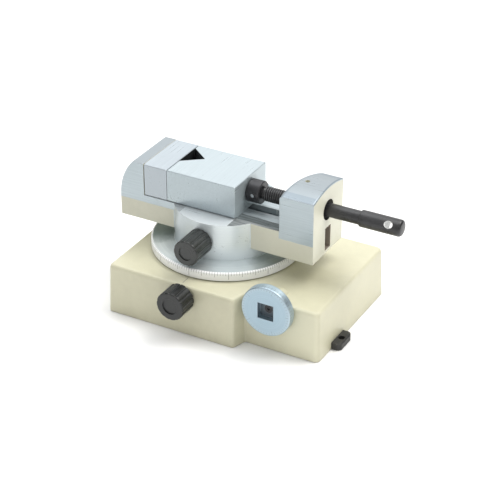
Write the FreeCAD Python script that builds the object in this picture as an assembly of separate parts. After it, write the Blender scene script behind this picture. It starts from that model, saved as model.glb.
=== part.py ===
import FreeCAD, Part
import math, os

V = FreeCAD.Vector
os.makedirs("parts", exist_ok=True)

# ---------------------------------------------------------------- driving dimensions (mm)
# frame: Z is the table axis, z = 0 is the underside of the base, X runs along the vise screw
BASE_XL, BASE_XR = -54.3, 92.8        # left and right ends of the base
BASE_YF, BASE_YR = -61.9, -51.75      # front of the deep block, front of the recessed part
BASE_YB = 44.5                        # back of the base
BASE_H = 34.5                         # height of the base
STEP_X, STEP_DX = 38.4, 3.1           # step between block and recess, and its slant
DRAFT = 1.0                           # how far the sides lean in at the top
LOBE_R = 51.2                         # rounded rear lobe under the table

TABLE_R, TABLE_Z0, TABLE_Z1 = 50.0, 35.2, 40.9   # round table flange
JOURNAL_R, RUN = 24.0, 0.04           # table journal and running clearance
DECK_Z = 20.0                         # underside of the deck the journal runs in
WHEEL_N, WHEEL_M = 36, 2.0            # worm wheel teeth and module
WHEEL_Z0, WHEEL_Z1 = 7.9, 15.9        # toothed band of the wheel
HUB_Z1 = 19.9
WORM_PR = 7.5                         # worm pitch radius
WORM_X = WHEEL_N * WHEEL_M / 2 + WORM_PR
WORM_Z = 11.91
DIAL_X, DIAL_Z = 59.4, 31.2           # dial shaft axis
GEAR_Y0, GEAR_Y1 = -43.9, -38.6       # band in which the spur gears lie
N_PINION, N_IDLER, N_WORMGEAR = 8, 13, 16        # module 1
DIAL_R, DIAL_Y0, DIAL_Y1 = 17.0, -58.5, -52.3    # dial disc, front face and back face
SOCKET = 11.0                         # square socket in the dial
POST_R, POST_Z1 = 15.0, 57.5          # swivel post inside the vise boss
BOSS_R, BOSS_Z0 = 34.6, 40.95         # round boss under the vise
VISE_W = 20.55                        # half width of the vise
VISE_XL, VISE_XR = -68.4, 72.3
BED_Z0, BED_Z1 = 48.4, 66.3           # underside and top of the bed
JAW_Z1 = 88.8                         # top of the jaws
CORNER_X, CORNER_Z = -58.6, 63.4      # ends of the big curve at the left end
FIXED_X0, FIXED_X1 = -50.5, -33.2     # fixed jaw block
MOV_X0, MOV_X1 = -32.9, 16.9          # moving jaw, closed
VG_HALF, VG_DEEP, VG_Y = 10.5, 13.5, 5.0         # V groove in the moving jaw
UP_X0 = 48.5                          # upright, left face
UP_ROUND_F, UP_ROUND_B = 2.0, 10.0     # rounding of its left top edge at the front and at the back
UP_Z, UP_CROWN = 91.0, 94.5           # shoulder and crown of the upright
SLOT_W = 7.6                          # central slot of the bed
SCREW_Z = 78.3                        # axis of the lead screw
THREAD_R, ROD_R, HEAD_R = 4.95, 4.5, 5.5
SPIGOT_R, GROOVE_R = 3.5, 2.4
COLLAR_R, COLLAR_L = 7.6, 9.4
THREAD_X1, HEAD_X0, SCREW_X1 = 71.6, 95.0, 123.3
TOMMY_R, TOMMY_X = 2.5, 115.0         # cross hole in the screw head
TOMMY_TILT = 33.66                    # its angle above the -Y direction, degrees
JAW_TRAVEL = 21.0
BLOCK_KNOB_R, VISE_KNOB_R = 9.7, 8.7   # radii of the two lock knobs
BLOCK_KNOB_X, BLOCK_KNOB_Z, BLOCK_KNOB_Y1 = 1.2, 26.9, -76.0        # table lock knob, front face
VISE_KNOB_Z, VISE_KNOB_Y1 = 53.4, -53.8          # vise lock knob, front face
LOCK_R = 3.0                          # lock screws and pads
LUG_Y0, LUG_Y1, LUG_T = -33.0, -16.0, 4.5        # hold-down lugs
LUG_OUT_R, LUG_OUT_L = 99.0, -61.2
LUG_HOLE_R = 2.2
RELIEF = 0.8                          # shadow gap under and behind the jaws
THREAD_GAP = 0.05                     # a screw's shank is drawn this much under its hole's radius

X, Y, Z = V(1, 0, 0), V(0, 1, 0), V(0, 0, 1)


def cyl(r, x, y, z, h, d=Z):
    return Part.makeCylinder(r, h, V(x, y, z), d)


def ycyl(r, x, z, y0, y1):
    return Part.makeCylinder(r, y1 - y0, V(x, y0, z), Y)


def xcyl(r, y, z, x0, x1):
    return Part.makeCylinder(r, x1 - x0, V(x0, y, z), X)


def box(x0, x1, y0, y1, z0, z1):
    return Part.makeBox(x1 - x0, y1 - y0, z1 - z0, V(x0, y0, z0))


def rounded(pts, radii, z):
    """Closed wire through a counter-clockwise polygon with its corners rounded."""
    n = len(pts)
    segs = []
    ends = []
    for i in range(n):
        p, a, b = V(*pts[i], z), V(*pts[i - 1], z), V(*pts[(i + 1) % n], z)
        r = radii[i]
        u, w = (a - p).normalize(), (b - p).normalize()
        half = math.acos(max(-1, min(1, u.dot(w)))) / 2
        t = r / math.tan(half)
        s, e = p + u * t, p + w * t
        bis = (u + w).normalize()
        m = p + bis * (r / math.sin(half) - r)
        ends.append((s, m, e))
    for i in range(n):
        s, m, e = ends[i]
        segs.append(Part.Arc(s, m, e).toShape())
        s2 = ends[(i + 1) % n][0]
        segs.append(Part.LineSegment(e, s2).toShape())
    return Part.Wire(segs)


def prism(pts, z0, z1, radii=None):
    if radii is None:
        w = Part.makePolygon([V(x, y, z0) for x, y in pts] + [V(*pts[0], z0)])
    else:
        w = rounded(pts, radii, z0)
    return Part.Face(w).extrude(V(0, 0, z1 - z0))


def inset(pts, d):
    """Counter-clockwise polygon moved inward by d."""
    n = len(pts)
    out = []
    for i in range(n):
        (x0, y0), (x1, y1), (x2, y2) = pts[i - 1], pts[i], pts[(i + 1) % n]
        def nrm(ax, ay, bx, by):
            l = math.hypot(bx - ax, by - ay)
            return -(by - ay) / l, (bx - ax) / l
        n1, n2 = nrm(x0, y0, x1, y1), nrm(x1, y1, x2, y2)
        k = 1 + n1[0] * n2[0] + n1[1] * n2[1]
        out.append((x1 + d * (n1[0] + n2[0]) / k, y1 + d * (n1[1] + n2[1]) / k))
    return out


def xz_prism(pts, y0, y1):
    w = Part.makePolygon([V(x, y0, z) for x, z in pts] + [V(pts[0][0], y0, pts[0][1])])
    return Part.Face(w).extrude(V(0, y1 - y0, 0))


def one(s):
    s = s.removeSplitter()
    return s.Solids[0] if len(s.Solids) == 1 else s


def save(name, s):
    s.exportStep("parts/%s.step" % name)
    bb = s.BoundBox
    print("%-22s solids %d valid %s vol %.2f cm3  x %.2f..%.2f y %.2f..%.2f z %.2f..%.2f" % (
        name, len(s.Solids), s.isValid(), s.Volume / 1000,
        bb.XMin, bb.XMax, bb.YMin, bb.YMax, bb.ZMin, bb.ZMax))


def soft_edges(s, r, pick):
    """Round the picked edges, or leave the solid as it is where that cannot be done."""
    es = [e for e in s.Edges if pick(e)]
    try:
        t = s.makeFillet(r, es)
        if t.isValid() and len(t.Solids) == 1:
            return t
    except Exception as err:
        print("fillet left out:", err)
    return s


def gear_points(n, rp, add, ded, wt, wr, phase):
    """Straight-flanked teeth; a tooth points along the angle phase."""
    pts = []
    rt, rr = rp + add, rp - ded
    for i in range(n):
        a = phase + 2 * math.pi * i / n
        for r, w, sgn in ((rr, wr, -1), (rt, wt, -1), (rt, wt, 1), (rr, wr, 1)):
            b = a + sgn * (w / 2) / r
            pts.append((r * math.cos(b), r * math.sin(b)))
    return pts


def spur(n, x, z, bore, phase):
    """Module 1 spur gear about an axis along Y; phase is the angle from +X towards +Z."""
    pts = gear_points(n, n / 2.0, 0.70, 0.95, 0.75, 1.55, phase)
    w = Part.makePolygon([V(x + p[0], GEAR_Y0, z + p[1]) for p in pts + pts[:1]])
    g = Part.Face(w).extrude(V(0, GEAR_Y1 - GEAR_Y0, 0))
    return g.cut(ycyl(bore, x, z, GEAR_Y0 - 1, GEAR_Y1 + 1))


def cap_screw(x, y, z0, z1, r, head_r, head_h, d=Z):
    """Shank from z0 up to z1 with its head below z0, about a vertical axis."""
    s = cyl(r, x, y, z0 - 0.01, z1 - z0 + 0.01).fuse(cyl(head_r, x, y, z0 - head_h, head_h))
    hexw = Part.makePolygon([V(x + head_r * 0.55 * math.cos(math.pi * k / 3),
                               y + head_r * 0.55 * math.sin(math.pi * k / 3), z0 - head_h) for k in range(7)])
    return one(s.cut(Part.Face(hexw).extrude(V(0, 0, head_h * 0.55))))


# ---------------------------------------------------------------- base casting
outline = [(BASE_XL, BASE_YF), (STEP_X, BASE_YF), (STEP_X + STEP_DX, BASE_YR), (BASE_XR, BASE_YR),
           (BASE_XR, BASE_YB), (BASE_XL, BASE_YB)]
radii = [2.5, 2.5, 1.5, 3.5, 3.2, 4.0]
sections = [(0.0, 0.0), (BASE_H - 2.4, DRAFT), (BASE_H - 0.95, DRAFT + 0.42), (BASE_H - 0.26, DRAFT + 1.05), (BASE_H, DRAFT + 1.8)]
base = None
for (z0, d0), (z1, d1) in zip(sections, sections[1:]):
    lo = Part.makeLoft([rounded(inset(outline, d0), radii, z0), rounded(inset(outline, d1), radii, z1)], True, True)
    base = lo if base is None else base.fuse(lo)
lobe = None
for (z0, d0), (z1, d1) in zip(sections, sections[1:]):
    c = Part.makeCone(LOBE_R - d0, LOBE_R - d1, z1 - z0, V(0, 0, z0))
    lobe = c if lobe is None else lobe.fuse(c)
lobe = lobe.common(box(-60, 60, 30, 60, -1, 60))
base = one(base.fuse(lobe))
# bearing boss that stands a little above the top behind the dial
HUMP_R = 5.9
hump = ycyl(HUMP_R, DIAL_X, DIAL_Z, BASE_YR + DRAFT + 0.4, -36.6).cut(box(40, 80, -60, -30, -10, DIAL_Z))
base = base.fuse(hump)
pad_ring = cyl(9.5, DIAL_X, BASE_YR, DIAL_Z, 2.2, Y)      # flat the dial bush sits in
base = base.fuse(pad_ring.common(box(40, 80, -60, -40, 0, BASE_H - 1.5)))

cav = cyl(39.0, 0, 0, -1, DECK_Z + 1)
cav = cav.fuse(box(33.5, 53.5, -14.3, 14.3, -1, 21.6))
idx = DIAL_X + (WORM_X - DIAL_X) * 10.5 / 25.0
idz = DIAL_Z + (WORM_Z - DIAL_Z) * 10.5 / 25.0
for x, z, r in ((DIAL_X, DIAL_Z, 5.1), (idx, idz, 8.0), (WORM_X, WORM_Z, 9.5)):
    cav = cav.fuse(ycyl(r, x, z, -44.5, -37.5)).fuse(box(x - r, x + r, -44.5, -37.5, -1, z))
cav = cav.fuse(prism([(58, -29), (79, -29), (79, 33), (58, 33)], -1, 27.0, [3] * 4))
cav = cav.fuse(prism([(-40, -42), (-13, -42), (-13, -30), (-40, -30)], -1, 26.0, [2.5] * 4))
cav = cav.fuse(prism([(-44.5, -30), (-36, -30), (-36, 30), (-44.5, 30)], -1, 26.0, [2.5] * 4))
base = base.cut(cav)
base = base.cut(cyl(JOURNAL_R + RUN, 0, 0, DECK_Z - 1, 20))
# cover recess and its screw holes
COVER = [(-45.0, -47.0), (83.0, -47.0), (83.0, 40.5), (-45.0, 40.5)]
base = base.cut(prism(inset(COVER, -0.05), -1, 2.5, [5.05] * 4))
SCREWS = [(-41.8, 36.5), (79.8, 36.5), (79.2, -43.2), (18.0, -43.6), (-41.2, -43.2), (48.0, 36.0)]
for x, y in SCREWS:
    base = base.cut(cyl(1.5, x, y, 0, 9.5))
# bores for bushes, shafts and locks
base = base.cut(ycyl(4.6, DIAL_X, DIAL_Z, -53, -44.4))
base = base.cut(ycyl(6.0, WORM_X, WORM_Z, -38, -14.2))
base = base.cut(ycyl(6.0, WORM_X, WORM_Z, 14.2, 24.0))
base = base.cut(ycyl(3.0, idx, idz, -49.5, -44))
base = base.cut(ycyl(6.0, BLOCK_KNOB_X, BLOCK_KNOB_Z, BASE_YF - 1, -50.0))
base = base.cut(ycyl(LOCK_R + 0.05, BLOCK_KNOB_X, BLOCK_KNOB_Z, -51, -23))
# pockets for the two hold-down lugs
base = base.cut(box(84.6, 99, LUG_Y0 - 0.05, LUG_Y1 + 0.05, -1, LUG_T + 0.05))
base = base.cut(box(-63, -46.6, LUG_Y0 - 0.05, LUG_Y1 + 0.05, -1, LUG_T + 0.05))
LUG_SCREWS = [(88.0, -28.9), (88.0, -20.1), (-50.0, -28.9), (-50.0, -20.1)]
for x, y in LUG_SCREWS:
    base = base.cut(cyl(1.5, x, y, 0, 13.5))
base = one(base)
save("base_casting", base)

cover = prism(COVER, 0.0, 2.45, [5.0] * 4)
heads = []
for x, y in SCREWS:
    cover = cover.cut(cyl(1.5, x, y, -1, 5)).cut(cyl(2.9, x, y, -1, 2.55))
    heads.append(cap_screw(x, y, 1.55, 9.0, 1.5 - THREAD_GAP, 2.8, 1.35))
save("bottom_cover", one(cover))
save("cover_screws", Part.Compound(heads))

save("thrust_washer", cyl(47.0, 0, 0, BASE_H, TABLE_Z0 - BASE_H - 0.04).cut(cyl(24.3, 0, 0, 30, 10)))
save("dial_bush", ycyl(4.6, DIAL_X, DIAL_Z, -51.9, -44.5).cut(ycyl(3.0 + RUN, DIAL_X, DIAL_Z, -60, -40)))
save("worm_front_bush", ycyl(6.0, WORM_X, WORM_Z, -37.5, -14.3).cut(ycyl(4.0 + RUN, WORM_X, WORM_Z, -40, -10)))
save("worm_rear_bush", ycyl(6.0, WORM_X, WORM_Z, 14.3, 24.0).cut(ycyl(4.0 + RUN, WORM_X, WORM_Z, 14, 22.9)))
save("idler_stud", one(ycyl(3.0, idx, idz, -49.4, -38.4).fuse(ycyl(4.4, idx, idz, -38.4, -37.7))
                       .cut(box(idx - 0.5, idx + 0.5, -37.95, -37, idz - 6, idz + 6))))


def lug(x_in, x_out, holes):
    s = 1 if x_out > x_in else -1
    x0, x1 = sorted((x_in, x_out))
    r = [1.5, 3.0, 3.0, 1.5] if s > 0 else [3.0, 1.5, 1.5, 3.0]
    p = prism([(x0, LUG_Y0), (x1, LUG_Y0), (x1, LUG_Y1), (x0, LUG_Y1)], 0, LUG_T, r)
    p = p.cut(cyl(LUG_HOLE_R, x_out - s * 3.4, (LUG_Y0 + LUG_Y1) / 2, -1, 10))
    for x, y in holes:
        p = p.cut(cyl(1.5, x, y, -1, 10)).cut(cyl(2.9, x, y, -1, 3.8))
    # the outer top edge is bevelled
    c = xz_prism([(x_out - s * 0.8, LUG_T + 0.01), (x_out + s * 0.01, LUG_T + 0.01), (x_out + s * 0.01, LUG_T - 0.8)],
                 LUG_Y0 - 1, LUG_Y1 + 1)
    return one(p.cut(c))


save("hold_down_lug_right", lug(84.7, LUG_OUT_R, LUG_SCREWS[:2]))
save("hold_down_lug_left", lug(-46.7, LUG_OUT_L, LUG_SCREWS[2:]))
save("lug_screws", Part.Compound([cap_screw(x, y, 2.8, 13.0, 1.5 - THREAD_GAP, 2.75, 2.6) for x, y in LUG_SCREWS]))

ins = ycyl(6.0, BLOCK_KNOB_X, BLOCK_KNOB_Z, BASE_YF + 0.2, -50.0).cut(ycyl(LOCK_R + 0.05, BLOCK_KNOB_X, BLOCK_KNOB_Z, -70, -40))
save("table_lock_insert", ins)

# ---------------------------------------------------------------- rotary table
table = cyl(TABLE_R, 0, 0, TABLE_Z0, TABLE_Z1 - TABLE_Z0 - 0.7).fuse(
    Part.makeCone(TABLE_R, TABLE_R - 0.7, 0.7, V(0, 0, TABLE_Z1 - 0.7)))
table = table.fuse(cyl(JOURNAL_R, 0, 0, HUB_Z1, TABLE_Z0 - HUB_Z1 + 0.5))
table = table.cut(cyl(POST_R + 0.03, 0, 0, 36.4, 10))
table = table.cut(cyl(4.2, 0, 0, 10, 40))
BOLTS = [(18.5 * math.cos(math.radians(a)), 18.5 * math.sin(math.radians(a))) for a in (45, 135, 225, 315)]
DOWELS = [(0, 18.5), (0, -18.5)]
for x, y in BOLTS:
    table = table.cut(cyl(2.0, x, y, 10, 21))
for x, y in DOWELS:
    table = table.cut(cyl(1.5, x, y, 10, 18))
table = one(table)
save("rotary_table", table)

wp = gear_points(WHEEL_N, WHEEL_N * WHEEL_M / 2, 1.3, 1.9, 1.3, 2.9, math.pi / WHEEL_N)
wheel = prism(wp, WHEEL_Z0, WHEEL_Z1).fuse(cyl(30.0, 0, 0, WHEEL_Z0, HUB_Z1 - WHEEL_Z0))
wheel = wheel.cut(cyl(4.2, 0, 0, 0, 30)).cut(cyl(7.2, 0, 0, 0, 12.0))
for x, y in BOLTS:
    wheel = wheel.cut(cyl(2.0, x, y, 0, 30)).cut(cyl(3.7, x, y, 0, 12.0))
for x, y in DOWELS:
    wheel = wheel.cut(cyl(1.5, x, y, 10, 18))
for k in range(6):
    a = math.radians(60 * k + 30)
    wheel = wheel.cut(cyl(3.0, 26.2 * math.cos(a), 26.2 * math.sin(a), 0, 30))
save("worm_wheel", one(wheel))
save("wheel_screws", Part.Compound([cap_screw(x, y, 12.0, 30.0, 2.0 - THREAD_GAP, 3.6, 3.6) for x, y in BOLTS]))
save("wheel_dowels", Part.Compound([cyl(1.5, x, y, 10.5, 17) for x, y in DOWELS]))

post = cyl(POST_R, 0, 0, 36.4, POST_Z1 - 36.4)
groove = cyl(POST_R + 2, 0, 0, VISE_KNOB_Z - 3.3, 6.6).cut(cyl(POST_R - 1.0, 0, 0, VISE_KNOB_Z - 4, 8))
post = post.cut(groove).cut(cyl(4.0, 0, 0, 30, 22.0))
save("swivel_post", one(post))
save("post_bolt", cap_screw(0, 0, 12.0, 51.5, 4.0, 6.8, 7.6))

# ---------------------------------------------------------------- vise body
R = ((CORNER_X - VISE_XL) ** 2 + (JAW_Z1 - CORNER_Z) ** 2) / (2 * (CORNER_X - VISE_XL))
cx, cz = VISE_XL + R, CORNER_Z
a_end = math.atan2(JAW_Z1 - cz, CORNER_X - cx)
a_mid = (math.pi + a_end) / 2
y0 = -VISE_W
e = [Part.LineSegment(V(VISE_XL, y0, BED_Z0), V(VISE_XL, y0, CORNER_Z)).toShape(),
     Part.Arc(V(VISE_XL, y0, CORNER_Z), V(cx + R * math.cos(a_mid), y0, cz + R * math.sin(a_mid)),
              V(CORNER_X, y0, JAW_Z1)).toShape()]
prof = [(CORNER_X, JAW_Z1), (FIXED_X0, JAW_Z1), (FIXED_X0, BED_Z1), (VISE_XR, BED_Z1), (VISE_XR, BED_Z0), (VISE_XL, BED_Z0)]
for p, q in zip(prof, prof[1:]):
    e.append(Part.LineSegment(V(p[0], y0, p[1]), V(q[0], y0, q[1])).toShape())
body = Part.Face(Part.Wire(e)).extrude(V(0, 2 * VISE_W, 0))
# rounded lower corners at the left end
body = body.fuse(cyl(BOSS_R, 0, 0, BOSS_Z0, BED_Z1 - BOSS_Z0))
ue = [Part.LineSegment(V(UP_X0, -VISE_W, BED_Z0 + 3), V(UP_X0, VISE_W, BED_Z0 + 3)).toShape(),
      Part.LineSegment(V(UP_X0, VISE_W, BED_Z0 + 3), V(UP_X0, VISE_W, UP_Z)).toShape(),
      Part.Arc(V(UP_X0, VISE_W, UP_Z), V(UP_X0, 0, UP_CROWN), V(UP_X0, -VISE_W, UP_Z)).toShape(),
      Part.LineSegment(V(UP_X0, -VISE_W, UP_Z), V(UP_X0, -VISE_W, BED_Z0 + 3)).toShape()]
upright = Part.Face(Part.Wire(ue)).extrude(V(VISE_XR - UP_X0, 0, 0))
body = one(body.fuse(upright))


def upright_left_arch(ed):
    b = ed.BoundBox
    return b.ZMin > UP_Z - 0.5 and b.XMax < UP_X0 + 0.1 and b.YLength > 10


def upright_right_arch(ed):
    b = ed.BoundBox
    return b.ZMin > UP_Z - 0.5 and b.XMin > VISE_XR - 0.1 and b.YLength > 10


arch = [ed for ed in body.Edges if upright_left_arch(ed)][0]
front_first = arch.valueAt(arch.FirstParameter).y < 0
ra, rb = (UP_ROUND_F, UP_ROUND_B) if front_first else (UP_ROUND_B, UP_ROUND_F)
body = body.makeFillet(ra, rb, [arch])
print("upright rounded", body.isValid(), len(body.Solids), front_first)
body = soft_edges(body, 1.0, upright_right_arch)
body = body.cut(cyl(POST_R + RUN, 0, 0, 30, 58.0 - 30))
# T slot under the moving jaw, deep open slot to the right of it, and the window the key goes in by
KEY_Z0, KEY_Z1 = 59.8, 62.6
body = body.cut(box(-31.0, UP_X0 - 1.5, -7.0, 7.0, KEY_Z0, KEY_Z1))
body = body.cut(box(-31.0, VISE_XR + 1, -SLOT_W / 2, SLOT_W / 2, KEY_Z1 - 0.1, BED_Z1 + 0.01))
body = body.cut(box(35.0, VISE_XR + 1, -SLOT_W / 2, SLOT_W / 2, 50.3, BED_Z1 + 0.01))
body = body.cut(box(35.5, UP_X0 - 1.5, -7.0, 7.0, BED_Z0 - 1, KEY_Z1))
# upright: nut bore, screw clearance bore
body = body.cut(xcyl(8.0, 0, SCREW_Z, UP_X0 - 1, 66.0))
body = body.cut(xcyl(6.9, 0, SCREW_Z, 60, VISE_XR + 1))
body = body.cut(cyl(1.6, 57.5, 0, SCREW_Z + 7.4, 30))
# fixed jaw screws come in from the back of the left end
JSC = [(-12.0, 79.0), (12.0, 79.0)]
for y, z in JSC:
    body = body.cut(xcyl(2.5, y, z, VISE_XL - 1, FIXED_X0 + 1)).cut(xcyl(4.3, y, z, VISE_XL - 1, -56.0))
# vise lock bore
body = body.cut(ycyl(5.5, 0, VISE_KNOB_Z, -BOSS_R - 1, -24.0))
body = body.cut(ycyl(LOCK_R + 0.05, 0, VISE_KNOB_Z, -25, -14))
body = one(body)
save("vise_body", body)

fj = box(FIXED_X0, FIXED_X1, -VISE_W, VISE_W, BED_Z1, JAW_Z1)
fj = fj.makeChamfer(0.4, [ed for ed in fj.Edges if abs(ed.BoundBox.ZMin - JAW_Z1) < 0.01])
for y, z in JSC:
    fj = fj.cut(xcyl(2.5, y, z, FIXED_X0 - 1, FIXED_X0 + 9.5))
for s in (-1, 1):                         # shadow gap below the block and behind it
    ya, yb = sorted((s * (VISE_W - 2.0), s * (VISE_W + 1)))
    fj = fj.cut(box(FIXED_X0 - 1, FIXED_X1 + 1, ya, yb, BED_Z1 - 1, BED_Z1 + RELIEF))
    fj = fj.cut(box(FIXED_X0 - 1, FIXED_X0 + 0.7, ya, yb, BED_Z1 - 1, JAW_Z1 + 1))
save("fixed_jaw", one(fj))
js = []
for y, z in JSC:
    s = xcyl(2.5 - THREAD_GAP, y, z, -56.01, FIXED_X0 + 9).fuse(xcyl(4.2, y, z, -60.6, -56.0))
    js.append(one(s.cut(xcyl(2.2, y, z, -61, -58.2))))
save("fixed_jaw_screws", Part.Compound(js))
nut = xcyl(8.0, 0, SCREW_Z, UP_X0 + 0.6, 66.0).cut(xcyl(THREAD_R + 0.05, 0, SCREW_Z, 40, 80))
nut = nut.cut(cyl(1.6, 57.5, 0, SCREW_Z + 6.4, 5))
save("screw_nut", one(nut))
save("nut_grub_screw", one(cyl(1.6, 57.5, 0, SCREW_Z + 6.5, 6.5).cut(cyl(0.8, 57.5, 0, SCREW_Z + 11, 5))))
vi = ycyl(5.5, 0, VISE_KNOB_Z, -BOSS_R + 0.2, -24.0).cut(ycyl(LOCK_R + 0.05, 0, VISE_KNOB_Z, -40, -20))
save("vise_lock_insert", vi)

# ---------------------------------------------------------------- moving jaw
mj = box(MOV_X0, MOV_X1, -VISE_W, VISE_W, BED_Z1 + 0.05, JAW_Z1)
mj = mj.makeChamfer(0.5, [ed for ed in mj.Edges if abs(ed.BoundBox.ZMin - JAW_Z1) < 0.01])
vg = Part.Face(Part.makePolygon([V(MOV_X0 - 1, VG_Y - VG_HALF - 1 * VG_HALF / VG_DEEP, 60),
                                 V(MOV_X0 + VG_DEEP, VG_Y, 60),
                                 V(MOV_X0 - 1, VG_Y + VG_HALF + 1 * VG_HALF / VG_DEEP, 60),
                                 V(MOV_X0 - 1, VG_Y - VG_HALF - 1 * VG_HALF / VG_DEEP, 60)])).extrude(V(0, 0, 40))
mj = mj.cut(vg)
mj = mj.cut(xcyl(SPIGOT_R + RUN, 0, SCREW_Z, 1.0, MOV_X1 + 1))
for s in (-1, 1):                         # shadow gap along both sides of the bed
    ya, yb = sorted((s * (VISE_W - 2.5), s * (VISE_W + 1)))
    mj = mj.cut(box(MOV_X0 - 1, MOV_X1 + 1, ya, yb, BED_Z1 - 1, BED_Z1 + RELIEF + 0.1))
PINX, PIN_Y, PIN_R = 7.0, GROOVE_R + 0.12 + 1.25, 1.25
for s in (-1, 1):
    mj = mj.cut(cyl(PIN_R, PINX, s * PIN_Y, BED_Z1, 18.0))
KS = [(-12.0, 0.0), (-2.6, 0.0)]
for x, y in KS:
    mj = mj.cut(cyl(1.5, x, y, BED_Z1 - 1, 9.0))
mj = one(mj)
save("moving_jaw", mj)
key = box(-15.5, 1.0, -SLOT_W / 2 + 0.05, SLOT_W / 2 - 0.05, KEY_Z1 - 0.6, BED_Z1 + 0.05)
key = key.fuse(box(-15.5, 1.0, -6.5, 6.5, KEY_Z0 + 0.2, KEY_Z1 - 0.25))
for x, y in KS:
    key = key.cut(cyl(1.5, x, y, 55, 15)).cut(cyl(2.7, x, y, 55, 7.2))
save("jaw_key", one(key))
save("jaw_key_screws", Part.Compound([cap_screw(x, y, 62.2, 73.5, 1.5 - THREAD_GAP, 2.6, 2.0) for x, y in KS]))
save("jaw_retaining_pins", Part.Compound([cyl(PIN_R, PINX, s * PIN_Y, BED_Z1 + 0.6, 16.6) for s in (-1, 1)]))

# ---------------------------------------------------------------- lead screw
sx0 = MOV_X1 + 0.15
ls = xcyl(SPIGOT_R, 0, SCREW_Z, 2.0, sx0 + COLLAR_L + 0.2)
ls = ls.cut(xcyl(SPIGOT_R + 2, 0, SCREW_Z, PINX - 1.35, PINX + 1.35).cut(xcyl(GROOVE_R, 0, SCREW_Z, PINX - 3, PINX + 3)))
ls = ls.fuse(xcyl(THREAD_R, 0, SCREW_Z, sx0 + COLLAR_L, THREAD_X1))
ls = ls.fuse(xcyl(ROD_R, 0, SCREW_Z, THREAD_X1 - 0.1, HEAD_X0 + 0.1))
head = xcyl(HEAD_R, 0, SCREW_Z, HEAD_X0, SCREW_X1 - 1.6).fuse(
    Part.makeCone(HEAD_R, HEAD_R - 1.8, 1.6, V(SCREW_X1 - 1.6, 0, SCREW_Z), X))
ls = ls.fuse(head)
tilt = math.radians(TOMMY_TILT)
TD = V(0, -math.cos(tilt), math.sin(tilt))
ls = ls.cut(Part.makeCylinder(TOMMY_R, 24, V(TOMMY_X, 0, SCREW_Z) - TD * 12, TD))
ls = ls.cut(ycyl(1.25, sx0 + 5.0, SCREW_Z, -10, 10))
save("lead_screw", one(ls))
col = xcyl(COLLAR_R, 0, SCREW_Z, sx0, sx0 + COLLAR_L - 0.05).cut(xcyl(SPIGOT_R, 0, SCREW_Z, 0, 40))
col = col.makeChamfer(0.6, [ed for ed in col.Edges if ed.BoundBox.DiagonalLength > 20 and ed.BoundBox.XLength < 0.01])
col = col.cut(ycyl(1.25, sx0 + 5.0, SCREW_Z, -10, 10))
save("screw_collar", one(col))
save("collar_pin", ycyl(1.25, sx0 + 5.0, SCREW_Z, -COLLAR_R + 0.4, COLLAR_R - 0.4))

# ---------------------------------------------------------------- dial, its shaft and the gear train
d0 = ycyl(DIAL_R, DIAL_X, DIAL_Z, DIAL_Y0, DIAL_Y1)
d0 = d0.makeFillet(0.9, [ed for ed in d0.Edges if ed.BoundBox.DiagonalLength > 20 and ed.BoundBox.YLength < 0.01])
h = SOCKET / 2
FLOOR_Y = DIAL_Y0 + 4.25                  # floor of the socket
SEAT_Y = DIAL_Y1 - 0.5                    # front end of the shaft, let into the back of the dial
d0 = d0.cut(box(DIAL_X - h, DIAL_X + h, DIAL_Y0 - 1, FLOOR_Y, DIAL_Z - h, DIAL_Z + h))
d0 = d0.cut(ycyl(1.5, DIAL_X, DIAL_Z, -60, -52))
d0 = d0.cut(ycyl(3.0, DIAL_X, DIAL_Z, SEAT_Y, -52))
d0 = d0.cut(Part.makeCone(2.9, 1.5, SEAT_Y - FLOOR_Y, V(DIAL_X, FLOOR_Y, DIAL_Z), Y))     # countersink
save("dial", one(d0))
sh = ycyl(3.0, DIAL_X, DIAL_Z, SEAT_Y, -38.0).cut(ycyl(1.5, DIAL_X, DIAL_Z, -60, -45.8))
save("dial_shaft", one(sh))
ds = ycyl(1.5 - THREAD_GAP, DIAL_X, DIAL_Z, SEAT_Y - 0.1, -46.0).fuse(
    Part.makeCone(2.86, 1.5 - THREAD_GAP, SEAT_Y - FLOOR_Y - 0.04, V(DIAL_X, FLOOR_Y + 0.02, DIAL_Z), Y))
save("dial_screw", one(ds.cut(ycyl(1.1, DIAL_X, DIAL_Z, FLOOR_Y - 1, FLOOR_Y + 0.9))))
ang = math.atan2(WORM_Z - DIAL_Z, WORM_X - DIAL_X)
save("dial_pinion", one(spur(N_PINION, DIAL_X, DIAL_Z, 3.0, ang)))
save("idler_gear", one(spur(N_IDLER, idx, idz, 3.0 + RUN, ang)))
save("worm_spur_gear", one(spur(N_WORMGEAR, WORM_X, WORM_Z, 4.0, ang + math.pi + math.pi / N_WORMGEAR)))

PITCH = math.pi * WHEEL_M
TURNS = 3
hx = Part.makeHelix(PITCH, PITCH * TURNS, 5.5)
rr, rt = 5.3, WORM_PR + 1.3
tw = Part.makePolygon([V(rr, 0, -1.5), V(rt, 0, -0.6), V(rt, 0, 0.6), V(rr, 0, 1.5), V(rr, 0, -1.5)])
thread = Part.Wire(hx.Edges).makePipeShell([tw], True, True)
thread = thread if thread.ShapeType == "Solid" else thread.Solids[0]
core = Part.makeCylinder(5.6, 2 * 12.5, V(0, 0, PITCH * TURNS / 2 - 12.5))
w = core.fuse(thread)
w.translate(V(0, 0, -PITCH * TURNS / 2))
w.rotate(V(0, 0, 0), V(1, 0, 0), -90)
w.translate(V(WORM_X, 0, WORM_Z))
w = w.fuse(ycyl(5.6, WORM_X, WORM_Z, -14.15, 14.15)).fuse(ycyl(4.0, WORM_X, WORM_Z, -44.1, 22.6))
save("worm_shaft", one(w))


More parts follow.
